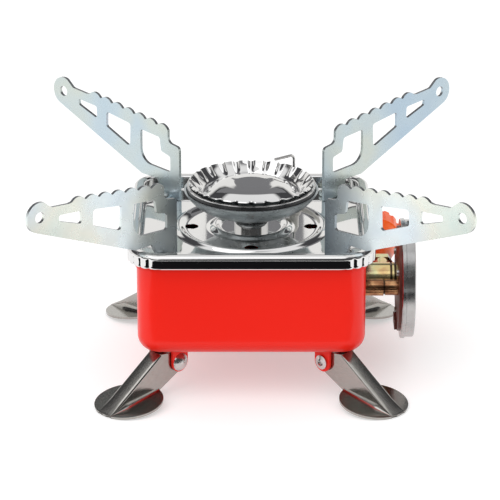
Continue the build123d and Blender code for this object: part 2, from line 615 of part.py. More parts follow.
def make_arm(heading, pivot):
    """Pot support: upright plate with a waved top and three windows, on a tab that turns on its rivet."""
    face = arm_outline()
    face -= arm_window([(46.4, 23.6), (46.6, 28.8), (57.4, 29.7), (56.9, 27.2)], 1.0)
    face -= arm_window([(27.6, 16.0), (27.2, 25.9), (41.0, 27.9), (41.2, 21.6)], 1.3)
    face -= inner_window()
    face -= Pos(*ARM_TIP_CENTRE) * Circle(ARM_TIP_HOLE)
    plate = Plane.XZ * face
    plate = Pos(0, ARM_SHEET / 2, 0) * extrude(plate, ARM_SHEET)
    tab = Pos(ARM_PIVOT_ALONG, ARM_PIVOT_ASIDE / 2, 0) * Rectangle(2 * ARM_TAB_HALF, ARM_PIVOT_ASIDE)
    tab += Pos(ARM_PIVOT_ALONG, ARM_PIVOT_ASIDE) * Circle(ARM_TAB_RADIUS)
    tab -= Pos(ARM_PIVOT_ALONG, ARM_PIVOT_ASIDE) * Circle(ARM_RIVET_RADIUS + 0.05)
    arm = plate + extrude(tab, ARM_SHEET)
    arm = Pos(-ARM_PIVOT_ALONG, -ARM_PIVOT_ASIDE, 0) * arm
    return Pos(pivot[0], pivot[1], TRAY_FLOOR + ARM_LIFT) * Rot(0, 0, heading) * arm


def arm_pivot(turn):
    angle = math.radians(turn)
    x, y = ARM_PIVOT
    return (x * math.cos(angle) - y * math.sin(angle), x * math.sin(angle) + y * math.cos(angle))


def make_arm_rivets():
    rivets = []
    for turn in ARM_TURNS:
        tab_top = TRAY_FLOOR + ARM_LIFT + ARM_SHEET
        head = tab_top + 0.2
        foot = TRAY_FLOOR - LID_SHEET
        rivet = turned_z([(0, foot - 0.9), (1.6, foot - 0.9), (2.4, foot), (ARM_RIVET_RADIUS, foot),
                          (ARM_RIVET_RADIUS, head),
                          (ARM_RIVET_HEAD, head), (ARM_RIVET_HEAD - 0.3, head + 0.6),
                          (1.4, head + ARM_RIVET_HEAD_HEIGHT),
                          (0, head + ARM_RIVET_HEAD_HEIGHT)])
        rivets.append(Pos(*arm_pivot(turn), 0) * rivet)
    return Compound(children=rivets)


def leg_frame(heading):
    """Place of a leg's pivot: X outward along the leg, Y along its hinge, origin on the pivot."""
    reach = LEG_FOOT_CENTRE * math.sqrt(2) - LEG_PIVOT_BACK
    return Rot(0, 0, heading) * Pos(reach, 0, LEG_PIVOT_HEIGHT)


def foot_underside(along):
    """Height of the tilted foot's underside, from the pivot, at a place along the leg."""
    tilt = math.radians(LEG_FOOT_TILT)
    middle = LEG_FOOT_RADIUS * math.sin(tilt) - LEG_PIVOT_HEIGHT
    return middle + (LEG_PIVOT_BACK - along) * math.tan(tilt)


def make_leg(heading):
    """Pressed channel leg: two side flanges and a sloping web that run out over a round foot."""
    half = LEG_WIDTH / 2
    sunk = LEG_SHEET / 2
    web_end = (LEG_WEB_END, foot_underside(LEG_WEB_END) + sunk)
    heel = (LEG_FLANGE_FOOT[0] + 0.6, foot_underside(LEG_FLANGE_FOOT[0] + 0.6) + sunk)
    side = make_face(Polyline((-2.9, -3.0), LEG_FLANGE_FOOT, heel, web_end, LEG_WEB_TOP, (1.0, 4.0),
                              close=True))
    side += Circle(LEG_EYE)
    blank = Pos(0, half, 0) * extrude(Plane.XZ * side, LEG_WIDTH)
    slope = math.atan2(LEG_WEB_TOP[1] - web_end[1], LEG_WEB_TOP[0] - web_end[0])
    drop = LEG_SHEET / abs(math.cos(slope))
    hollow_end = LEG_WEB_END - 4.0
    inside = make_face(Polyline((-6, -14), (hollow_end, -14),
                                (hollow_end, web_end[1] - 4.0 * math.tan(slope) - drop),
                                (LEG_WEB_TOP[0], LEG_WEB_TOP[1] - drop), (-6, 9), close=True))
    hollow = Pos(0, half - LEG_SHEET, 0) * extrude(Plane.XZ * inside, LEG_WIDTH - 2 * LEG_SHEET)
    foot = Cylinder(LEG_FOOT_RADIUS, LEG_SHEET, align=FROM_BASE)
    foot = Pos(LEG_PIVOT_BACK, 0, foot_underside(LEG_PIVOT_BACK)) * Rot(0, LEG_FOOT_TILT, 0) * foot
    eye = rod_y(LEG_RIVET_RADIUS + 0.05, -LEG_WIDTH, LEG_WIDTH, 0, 0)
    return leg_frame(heading) * (blank + foot - hollow - eye)


def make_leg_bracket(heading):
    """Two ears under the case, joined by a base, that hold a leg's rivet."""
    ear_inner = LEG_WIDTH / 2 + LEG_GAP
    top = CASE_BOTTOM - LEG_PIVOT_HEIGHT
    ear_face = Circle(EAR_RADIUS) + Pos(0, top / 2) * Rectangle(2 * EAR_RADIUS, top)
    ears = Pos(0, -ear_inner, 0) * extrude(Plane.XZ * ear_face, EAR_SHEET)
    ears += Pos(0, ear_inner + EAR_SHEET, 0) * extrude(Plane.XZ * ear_face, EAR_SHEET)
    base = Pos(0, 0, top - EAR_BASE / 2) * Box(2 * EAR_RADIUS, 2 * (ear_inner + EAR_SHEET), EAR_BASE)
    hole = rod_y(LEG_RIVET_RADIUS, -LEG_WIDTH, LEG_WIDTH, 0, 0)
    return leg_frame(heading) * (ears + base - hole)


def make_leg_rivets():
    """Domed head on one side of each leg and a flared tubular end on the other."""
    rivets = []
    face = LEG_WIDTH / 2 + LEG_GAP + EAR_SHEET
    dome_height = 2.0
    ball = (LEG_RIVET_HEAD ** 2 + dome_height ** 2) / (2 * dome_height)
    half_angle = math.asin(LEG_RIVET_HEAD / ball) / 2
    dome_middle = (ball * math.sin(half_angle), face + dome_height - ball * (1 - math.cos(half_angle)))
    for heading in LEG_HEADINGS:
        dome = ThreePointArc((LEG_RIVET_HEAD, face), dome_middle, (0, face + dome_height))
        lines = [Line((0, -face - 0.2), (0.9, -face - 0.2)), Line((0.9, -face - 0.2), (1.4, -face - 1.1)),
                 Line((1.4, -face - 1.1), (2.8, -face - 0.8)), Line((2.8, -face - 0.8), (2.8, -face)),
                 Line((2.8, -face), (LEG_RIVET_RADIUS, -face)),
                 Line((LEG_RIVET_RADIUS, -face), (LEG_RIVET_RADIUS, face)),
                 Line((LEG_RIVET_RADIUS, face), (LEG_RIVET_HEAD, face)), dome,
                 Line((0, face + dome_height), (0, -face - 0.2))]
        section = make_face(Curve() + lines)
        rivets.append(leg_frame(heading) * revolve(section, Axis.Y))
    return Compound(children=rivets)


def main():
    nodes = {
        "case_shell": make_case_shell(),
        "tray_lid": make_tray_lid(),
        "burner_stem": make_burner_stem(),
        "burner_bowl": make_burner_bowl(),
        "burner_port_ring": make_port_ring(),
        "burner_cap": make_burner_cap(),
        "burner_nut": make_burner_nut(),
        "mixing_tube": make_mixing_tube(),
        "jet_nozzle": make_jet_nozzle(),
        "valve_body": make_valve_body(),
        "valve_lock_nut": make_lock_nut(),
        "support_post": make_support_post(),
        "post_nut": make_post_nut(),
        "back_plate": make_back_plate(),
        "coupling_ring": make_coupling_ring(),
        "coupling_screws": make_coupling_screws(),
        "inlet_nipple": make_inlet_nipple(),
        "inlet_seal": make_inlet_seal(),
        "gland_nut": make_gland_nut(),
        "valve_spindle": make_valve_spindle(),
        "spindle_seal": make_spindle_seal(),
        "control_knob": make_control_knob(),
        "knob_screw": make_knob_screw(),
        "igniter_body": make_igniter_body(),
        "igniter_nut": make_igniter_nut(),
        "igniter_button": make_igniter_button(),
        "igniter_lead": make_igniter_lead(),
        "electrode": make_electrode(),
        "electrode_insulator": make_electrode_insulator(),
        "arm_rivets": make_arm_rivets(),
        "leg_rivets": make_leg_rivets(),
    }
    for corner, turn, arm_heading, leg_heading in zip(CORNERS, ARM_TURNS, ARM_HEADINGS, LEG_HEADINGS):
        nodes["pot_support_" + corner] = make_arm(arm_heading, arm_pivot(turn))
        nodes["leg_" + corner] = make_leg(leg_heading)
        nodes["leg_bracket_" + corner] = make_leg_bracket(leg_heading)
    os.makedirs("parts", exist_ok=True)
    for name, shape in nodes.items():
        export_step(shape, "parts/" + name + ".step")
        print(name, round(shape.volume, 1))


main()
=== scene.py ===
# %% [markdown]
# A folding camp burner, dressed for the camera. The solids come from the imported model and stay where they
# are. This script adds the pressed sheet-metal surfaces that a solid modeller leaves plain (lid, cap and
# legs), gives every piece a finish made of nodes, and sets the light and the camera.

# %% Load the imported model
import json
import math
import bpy
import bmesh
import numpy as np
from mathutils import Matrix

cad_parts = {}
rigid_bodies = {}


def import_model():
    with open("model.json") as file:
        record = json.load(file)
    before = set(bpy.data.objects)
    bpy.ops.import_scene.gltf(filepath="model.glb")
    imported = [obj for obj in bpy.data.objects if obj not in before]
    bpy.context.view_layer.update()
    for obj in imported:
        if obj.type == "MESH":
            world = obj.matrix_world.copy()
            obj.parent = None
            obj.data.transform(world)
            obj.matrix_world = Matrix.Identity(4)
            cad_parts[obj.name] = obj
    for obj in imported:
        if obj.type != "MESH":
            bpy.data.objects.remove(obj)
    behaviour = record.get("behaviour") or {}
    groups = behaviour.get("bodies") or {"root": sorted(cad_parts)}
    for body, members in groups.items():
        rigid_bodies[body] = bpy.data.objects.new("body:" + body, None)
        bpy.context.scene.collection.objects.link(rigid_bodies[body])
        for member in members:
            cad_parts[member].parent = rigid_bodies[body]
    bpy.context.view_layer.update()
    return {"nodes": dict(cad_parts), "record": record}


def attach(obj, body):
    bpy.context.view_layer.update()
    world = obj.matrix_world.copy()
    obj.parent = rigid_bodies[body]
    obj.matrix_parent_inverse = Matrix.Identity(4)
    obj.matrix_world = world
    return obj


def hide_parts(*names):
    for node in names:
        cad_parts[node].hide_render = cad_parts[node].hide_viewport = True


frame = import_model()
MM = 0.001
CORNERS = ["rear_right", "front_right", "front_left", "rear_left"]

# %% [markdown]
# Pressed sheet is easiest to describe as a grid: one parameter runs along the piece, the other across it,
# and each grid point is worked out by a formula. Helpers turn such grids into one mesh and give it the
# sheet's thickness. Doing it with whole arrays keeps the code short, and the mesh gets even quads that
# shade smoothly.

# %% Helpers that turn grids of points into one piece of sheet
WELD_DISTANCE = 1e-6
SHARP_DEGREES = 42


def grid_faces(rows, columns, closed, first):
    """Four corner numbers for each cell of a grid; a closed grid joins its last column to its first."""
    number = first + np.arange(rows * columns).reshape(rows, columns)
    if closed:
        number = np.concatenate([number, number[:, :1]], axis=1)
    corners = [number[:-1, :-1], number[:-1, 1:], number[1:, 1:], number[1:, :-1]]
    return np.stack(corners, axis=-1).reshape(-1, 4)


def joined_mesh(name, grids, closed, keep):
    """One mesh of point grids in millimetres; keep picks the faces that stay by their middles."""
    faces, first = [], 0
    for grid in grids:
        rows, columns = grid.shape[:2]
        faces.append(grid_faces(rows, columns, closed, first))
        first += rows * columns
    points = np.concatenate([grid.reshape(-1, 3) for grid in grids])
    faces = np.concatenate(faces)
    if keep is not None:
        faces = faces[keep(points[faces].mean(axis=1))]
    mesh = bpy.data.meshes.new(name)
    mesh.from_pydata(points * MM, [], faces.tolist())
    return mesh


def lay_uvs(mesh, uvs):
    """Give every face corner the UV of its grid point."""
    layer = mesh.uv_layers.new(name="along")
    corner_vertex = np.zeros(len(mesh.loops), dtype=np.int32)
    mesh.loops.foreach_get("vertex_index", corner_vertex)
    flat = np.concatenate([uv.reshape(-1, 2) for uv in uvs])
    layer.data.foreach_set("uv", flat[corner_vertex].astype(np.float32).ravel())


def weld(mesh):
    """Merge doubled points, then drop faces without area and points without faces."""
    builder = bmesh.new()
    builder.from_mesh(mesh)
    bmesh.ops.remove_doubles(builder, verts=builder.verts, dist=WELD_DISTANCE)
    bmesh.ops.dissolve_degenerate(builder, edges=builder.edges, dist=WELD_DISTANCE)
    loose = [vertex for vertex in builder.verts if not vertex.link_faces]
    bmesh.ops.delete(builder, geom=loose, context="VERTS")
    builder.to_mesh(mesh)
    builder.free()


def thicken(piece, thickness):
    """Give a sheet its thickness, inwards from the grid, and keep the result as the piece's mesh."""
    thin = piece.data
    wall = piece.modifiers.new("sheet", "SOLIDIFY")
    wall.thickness = thickness * MM
    wall.offset = -1.0
    wall.use_even_offset = False
    thick = bpy.data.meshes.new_from_object(piece.evaluated_get(bpy.context.evaluated_depsgraph_get()))
    piece.modifiers.clear()
    piece.data = thick
    bpy.data.meshes.remove(thin)
    thick.name = piece.name


def sheet_object(name, grids, thickness, closed=False, keep=None, uvs=None):
    """A piece of thin sheet made from point grids: smooth over its bends, crisp at its cut edges."""
    mesh = joined_mesh(name, grids, closed, keep)
    if uvs is not None:
        lay_uvs(mesh, uvs)
    weld(mesh)
    piece = bpy.data.objects.new(name, mesh)
    bpy.context.scene.collection.objects.link(piece)
    thicken(piece, thickness)
    piece.data.shade_smooth()
    piece.data.set_sharp_from_angle(angle=math.radians(SHARP_DEGREES))
    print(name, "vertices", len(piece.data.vertices), "faces", len(piece.data.polygons))
    return piece


def smooth_step(value):
    """Zero below 0, one above 1, and an even S between."""
    value = np.clip(value, 0.0, 1.0)
    return value * value * (3.0 - 2.0 * value)


# %% [markdown]
# The lid is one polished pressing: a flat floor with two round beads, four vent holes, a low wall, a rolled
# rim and a short skirt whose corners are gathered into pleats. All of it is one grid. Columns go round the
# tray and rows go from the stem hole outwards, up the wall, over the rim and down the skirt.

# %% The path round the tray
TRAY_HALF, TRAY_CORNER = 42.25, 7.6
TRAY_FLOOR, RIM_TOP, SKIRT_BOTTOM = 55.6, 61.3, 55.8
SIDE_POINTS, CORNER_POINTS = 52, 40


def tray_path():
    """Points, outward directions and corner shares round the tray: straight sides and quarter circles."""
    straight = TRAY_HALF - TRAY_CORNER
    side = np.linspace(-1, 1, SIDE_POINTS, endpoint=False)
    turn = np.linspace(0, 1, CORNER_POINTS, endpoint=False)
    places, normals, shares = [], [], []
    for quarter in range(4):
        angle = quarter * math.pi / 2
        spin = np.array([[math.cos(angle), -math.sin(angle)], [math.sin(angle), math.cos(angle)]])
        bend = turn * math.pi / 2
        arc = np.stack([np.cos(bend), np.sin(bend)], axis=1)
        flat = np.stack([np.full_like(side, TRAY_HALF), side * straight], axis=1)
        round_corner = straight + TRAY_CORNER * arc
        places.append(np.concatenate([flat, round_corner]) @ spin.T)
        normals.append(np.concatenate([np.tile([1.0, 0.0], (SIDE_POINTS, 1)), arc]) @ spin.T)
        shares.append(np.concatenate([np.full(SIDE_POINTS, -1.0), turn]))
    return np.concatenate(places), np.concatenate(normals), np.concatenate(shares)


wall_line, wall_out, corner_share = tray_path()
print("tray path", len(wall_line), "points")

# %% The rows of the lid
LID_SHEET, STEM_HOLE, BEADS_END = 0.55, 4.6, 31.0
VENT_RADIUS, VENT_DISTANCE, VENT_SNAP = 2.6, 23.1, 0.34
OUTER_BEAD, INNER_BEAD, BEAD_HEIGHT = (25.2, 28.4, 30.6), (11.6, 13.8, 16.8), 1.5
FOOT_ROUND, RIM_INNER, RIM_OUTER, SKIRT_OFFSET = 0.9, 1.1, 2.1, 4.65
PLEATS, PLEAT_DEPTH, PLEAT_LIFT, PLEAT_TOP, PLEAT_FADE, CORNER_DRAW = 5, 0.5, 0.15, 60.7, 1.8, 0.2


def bead(radius, feet):
    """Height of a pressed bead: an S up from its inner foot to the crest and an S down to its outer foot."""
    inner, crest, outer = feet
    up = smooth_step((radius - inner) / (crest - inner))
    down = smooth_step((outer - radius) / (outer - crest))
    return BEAD_HEIGHT * np.where(radius < crest, up, down)


def lid_floor():
    """Rays from the stem hole to the wall, lifted by the beads and drawn on to the vents' edges."""
    ray = wall_line / np.linalg.norm(wall_line, axis=1, keepdims=True)
    inner = np.linspace(STEM_HOLE, BEADS_END, 50)[:, None, None] * ray[None]
    share = np.linspace(0, 1, 9)[1:-1, None, None]
    edge = wall_line - FOOT_ROUND * wall_out
    outer = inner[-1:] * (1 - share) + edge[None] * share
    plan = np.concatenate([inner, outer])
    for quarter in range(4):
        angle = quarter * math.pi / 2
        centre = VENT_DISTANCE * np.array([math.cos(angle), math.sin(angle)])
        offset = plan - centre
        distance = np.linalg.norm(offset, axis=-1, keepdims=True)
        near = np.abs(distance - VENT_RADIUS) < VENT_SNAP
        plan = np.where(near, centre + offset / np.maximum(distance, 1e-9) * VENT_RADIUS, plan)
    radius = np.linalg.norm(plan, axis=-1)
    height = TRAY_FLOOR + bead(radius, OUTER_BEAD) + bead(radius, INNER_BEAD)
    return np.concatenate([plan, height[..., None]], axis=-1)


def quarter_arc(centre, size, start, end, count):
    """Points on an arc of a circle, from one angle to another in degrees."""
    angle = np.radians(np.linspace(start, end, count))
    return np.stack([centre[0] + size * np.cos(angle), centre[1] + size * np.sin(angle)], axis=1)


def lid_rim():
    """A profile of offset and height carried round the path; corners are drawn in along each pleat."""
    profile = np.concatenate([
        quarter_arc((-FOOT_ROUND, TRAY_FLOOR + FOOT_ROUND), FOOT_ROUND, -90, 0, 6),
        quarter_arc((RIM_INNER, RIM_TOP - RIM_INNER), RIM_INNER, 180, 90, 8),
        quarter_arc((SKIRT_OFFSET - RIM_OUTER, RIM_TOP - RIM_OUTER), RIM_OUTER, 90, 0, 12),
        [[SKIRT_OFFSET, 58.2], [SKIRT_OFFSET, 57.0], [SKIRT_OFFSET - 0.03, 56.2],
         [SKIRT_OFFSET - 0.2, SKIRT_BOTTOM + 0.1], [SKIRT_OFFSET - 0.5, SKIRT_BOTTOM]],
    ])
    outside = profile[:, :1] > SKIRT_OFFSET / 2
    skirt = smooth_step((PLEAT_TOP - profile[:, 1]) / PLEAT_FADE)[:, None] * outside
    inside = corner_share >= 0
    fold = np.abs(np.sin(math.pi * PLEATS * corner_share)) ** 0.5
    settle = smooth_step(np.minimum(corner_share, 1 - corner_share) * 12)
    groove = np.where(inside, (1 - fold) * settle, 0.0)[None]
    swell = np.where(inside, np.sin(math.pi * np.clip(corner_share, 0, 1)), 0.0)[None]
    offset = profile[:, :1] - skirt * (PLEAT_DEPTH * groove) - skirt * CORNER_DRAW * swell
    height = profile[:, 1:] + skirt * PLEAT_LIFT * groove
    plan = wall_line[None] + offset[..., None] * wall_out[None]
    return np.concatenate([plan, height[..., None]], axis=-1)


def outside_vents(middles):
    """True for faces whose middle isn't in a vent hole."""
    centres = VENT_DISTANCE * np.array([[1, 0], [0, 1], [-1, 0], [0, -1]])
    distance = np.linalg.norm(middles[:, None, :2] - centres[None], axis=-1)
    return distance.min(axis=1) > VENT_RADIUS - 0.02


lid_grid = np.concatenate([lid_floor(), lid_rim()])[::-1]
lid = sheet_object("lid_pressing", [lid_grid], LID_SHEET, closed=True, keep=outside_vents)
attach(lid, "stove")
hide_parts("tray_lid")

# %% [markdown]
# The burner cap is a thin pressed disc: a softly domed crown, a cone down to a groove, and a wall that
# climbs back to the rim in flutes. Gas leaves through the gaps between the flutes and the band round them.
# A profile is turned about the axis, its corners are rounded by averaging neighbouring points, and flutes
# that grow upwards are drawn into the wall.

# %% The fluted cap
FLUTES, FLUTE_STEPS, FLUTE_SHARE, FLUTE_DEPTH = 24, 20, 0.45, 0.62
FLUTE_START, FLUTE_GROWTH, CAP_SHEET = 19.3, 3.2, 0.45
PROFILE_STEP, PROFILE_SPREAD = 0.36, 3
CAP_PROFILE = np.array([(0.02, 74.0), (6.0, 73.95), (10.5, 73.6), (13.0, 73.0), (15.0, 72.0),
                        (18.9, 69.6), (23.33, 74.4)])


def rounded_profile(corners, step, spread):
    """A broken line sampled evenly along its length, then averaged over a short stretch to round it."""
    lengths = np.concatenate([[0], np.cumsum(np.linalg.norm(np.diff(corners, axis=0), axis=1))])
    place = np.linspace(0, lengths[-1], int(lengths[-1] / step))
    line = np.stack([np.interp(place, lengths, corners[:, axis]) for axis in (0, 1)], axis=1)
    reach = np.arange(-spread, spread + 1)
    weight = np.exp(-0.5 * (reach / (0.45 * spread)) ** 2)
    weight /= weight.sum()
    longer = np.pad(line, ((spread, spread), (0, 0)), mode="edge")
    smooth = np.stack([np.convolve(longer[:, axis], weight, "valid") for axis in (0, 1)], axis=1)
    smooth[0], smooth[-1] = line[0], line[-1]
    return smooth


def cap_grid():
    """The rounded profile turned about the axis, its wall drawn in by half a sine at each flute."""
    profile = rounded_profile(CAP_PROFILE, PROFILE_STEP, PROFILE_SPREAD)
    angle = np.linspace(0, 2 * math.pi, FLUTES * FLUTE_STEPS, endpoint=False)
    phase = (FLUTES * angle / (2 * math.pi) + FLUTE_SHARE / 2) % 1.0
    wave = 1.0 - 2.0 * np.where(phase < FLUTE_SHARE, np.sin(math.pi * phase / FLUTE_SHARE), 0.0)
    wall = smooth_step((profile[:, 0] - FLUTE_START) / FLUTE_GROWTH)
    radius = profile[:, :1] + FLUTE_DEPTH * wall[:, None] * wave[None]
    height = np.repeat(profile[:, 1:], len(angle), axis=1)
    return np.stack([radius * np.cos(angle), radius * np.sin(angle), height], axis=-1)


cap = sheet_object("fluted_cap", [cap_grid()[::-1]], CAP_SHEET, closed=True)
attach(cap, "stove")
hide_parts("burner_cap")

# %% [markdown]
# Each leg is one strip of stainless steel: a channel that runs out over a round foot, with small radii
# along its bends and a flare where it meets the foot. The grid slices the leg across: every slice starts on
# the rim of the foot, goes up one side, over the web and down the other. Two flat eyes carry the hinge
# rivet.

# %% The pressed legs
LEG_HEADINGS = [45.0, -45.0, -135.0, 135.0]
LEG_SHEET, LEG_HALF, EYE_RADIUS = 0.9, 3.35, 4.2
FOOT_RADIUS, FOOT_TILT, FOOT_BACK, FOOT_CENTRE = 13.2, math.radians(7.0), 22.8, 46.5
LEG_REACH, PIVOT_HEIGHT = FOOT_CENTRE * math.sqrt(2) - FOOT_BACK, 12.9
WEB_TOP, WEB_END, WEB_CROWN = (8.9, 5.2), 35.0, 0.06
FLANGE_START, FLANGE_FOOT = (-2.9, -3.0), (10.8, -9.6)
TOE_START, TOE_LENGTH = 30.0, 5.87


def foot_top(along):
    """Height of the tilted foot's upper face above the pivot line."""
    middle = FOOT_RADIUS * math.sin(FOOT_TILT) - PIVOT_HEIGHT + LEG_SHEET / math.cos(FOOT_TILT)
    return middle + (FOOT_BACK - along) * math.tan(FOOT_TILT)


def flange_bottom(along):
    """Lower edge of the side flange: round the hinge eye, then a straight line down to the foot."""
    eye = -np.sqrt(np.maximum(EYE_RADIUS ** 2 - along ** 2, 0))
    slope = (FLANGE_FOOT[1] - FLANGE_START[1]) / (FLANGE_FOOT[0] - FLANGE_START[0])
    return np.where(along < FLANGE_START[0], eye, FLANGE_START[1] + slope * (along - FLANGE_START[0]))


def leg_slices():
    """Slices across the leg: foot, flare, side, bend, web and the same again, each with as many points."""
    toe = TOE_START + TOE_LENGTH * np.sin(np.linspace(0, 1, 40) * math.pi / 2)
    along = np.concatenate([np.linspace(WEB_TOP[0], 12.0, 16), np.linspace(12.4, TOE_START, 26), toe])
    foot = foot_top(along)
    from_middle = (along - FOOT_BACK) / math.cos(FOOT_TILT)
    half_foot = np.sqrt(np.maximum(FOOT_RADIUS ** 2 - from_middle ** 2, 0))
    web_slope = (foot_top(WEB_END) - WEB_TOP[1]) / (WEB_END - WEB_TOP[0])
    line = WEB_TOP[1] + (along - WEB_TOP[0]) * web_slope
    web = foot + 0.5 * ((line - foot) + np.sqrt((line - foot) ** 2 + 0.25))
    on_foot = smooth_step((half_foot - LEG_HALF + 0.2) / 0.8)
    hanging = np.minimum(foot, flange_bottom(along))
    base = np.where(along < FOOT_BACK, hanging * (1 - on_foot) + foot * on_foot, foot)
    rise = web - base
    flare = np.minimum(1.0 + 0.06 * (along - WEB_TOP[0]), rise * 0.5)
    corner = np.minimum(1.0, rise * 0.35)
    arc = np.linspace(0, math.pi / 2, 8)
    quiet = np.linspace(0, 1, 8)
    reach = np.maximum(half_foot, LEG_HALF)[:, None]
    flat_h = reach * (1 - quiet) + np.minimum(reach, (LEG_HALF + flare)[:, None]) * quiet
    flat_z = np.repeat(base[:, None], 8, axis=1)
    flare_h = LEG_HALF + flare[:, None] * (1 - np.sin(arc))
    flare_z = base[:, None] + flare[:, None] * (1 - np.cos(arc))
    side_h = np.full((len(along), 6), LEG_HALF)
    side_z = (base + flare)[:, None] + (rise - flare - corner)[:, None] * np.linspace(0, 1, 8)[1:-1]
    bend_h = LEG_HALF - corner[:, None] * (1 - np.cos(arc))
    bend_z = (web - corner)[:, None] + corner[:, None] * np.sin(arc)
    to_middle = np.linspace(1, 0, 6)[1:]
    web_h = (LEG_HALF - corner)[:, None] * to_middle
    web_z = web[:, None] + np.minimum(WEB_CROWN, 0.1 * rise)[:, None] * (1 - to_middle ** 2)
    limit = np.where(along[:, None] > FOOT_BACK, half_foot[:, None], reach)
    half_h = np.minimum(np.concatenate([flat_h, flare_h, side_h, bend_h, web_h], axis=1), limit)
    half_z = np.concatenate([flat_z, flare_z, side_z, bend_z, web_z], axis=1)
    across = np.concatenate([half_h, -half_h[:, -2::-1]], axis=1)
    height = np.concatenate([half_z, half_z[:, -2::-1]], axis=1)
    return np.stack([np.repeat(along[:, None], across.shape[1], axis=1), across, height], axis=-1)


def hinge_eye(side):
    """Flat plate between the lower and upper edges of a flange, round the hinge, on one side."""
    round_end = -EYE_RADIUS * np.cos(np.linspace(0, math.pi / 2, 14))
    along = np.concatenate([round_end, np.linspace(0.5, WEB_TOP[0], 16)])
    eye = np.sqrt(np.maximum(EYE_RADIUS ** 2 - along ** 2, 0))
    top = np.where(along < 1.0, eye, 4.0 + 1.2 * (along - 1.0) / 7.9)
    low = flange_bottom(along)
    share = np.linspace(0, 1, 10)
    height = low[:, None] + (top - low)[:, None] * share
    width = np.full_like(height, side * LEG_HALF)
    plate = np.stack([np.repeat(along[:, None], len(share), axis=1), width, height], axis=-1)
    return plate if side > 0 else plate[:, ::-1]


def stand_leg(points, heading):
    """Leg points turned to a heading and set on their pivot."""
    angle = math.radians(heading)
    x = points[..., 0] + LEG_REACH
    y = points[..., 1]
    turned_x = x * math.cos(angle) - y * math.sin(angle)
    turned_y = x * math.sin(angle) + y * math.cos(angle)
    return np.stack([turned_x, turned_y, points[..., 2] + PIVOT_HEIGHT], axis=-1)


leg_shapes = [leg_slices(), hinge_eye(1.0), hinge_eye(-1.0)]
leg_uvs = [np.stack([shape[..., 0], shape[..., 1] + shape[..., 2]], axis=-1) * 0.01 for shape in leg_shapes]
legs = []
for corner, heading in zip(CORNERS, LEG_HEADINGS):
    standing = [stand_leg(shape, heading) for shape in leg_shapes]
    leg = sheet_object("pressed_leg_" + corner, standing, LEG_SHEET, uvs=leg_uvs)
    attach(leg, "foot_" + corner)
    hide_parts("leg_" + corner)
    legs.append(leg)

# %% [markdown]
# Finishes. Every one is a Principled shader whose colour, roughness and bump come from noise in the piece's
# own coordinates, at the scale the real surface has: orange peel in enamel, clouds in zinc plate, fine
# polishing lines in stainless steel. Some colours also carry painted light and shade. The pot supports are
# zinc plate with painted dark reflections: darker upper cut edges, a dark band on the front pair's inner
# ends and a darker, bluer tone on the rear pair. Near-black rings of painted shade mark the grooves round
# the brass valve and a gap round the bronze post, and the band round the cap is painted black as shade, with
# a bright steel upper edge. A number that is the same all over is set on the shader itself.

# %% Helpers for node finishes
WHITE, BLACK = (1, 1, 1), (0, 0, 0)
WOBBLE_SIZE = 0.02


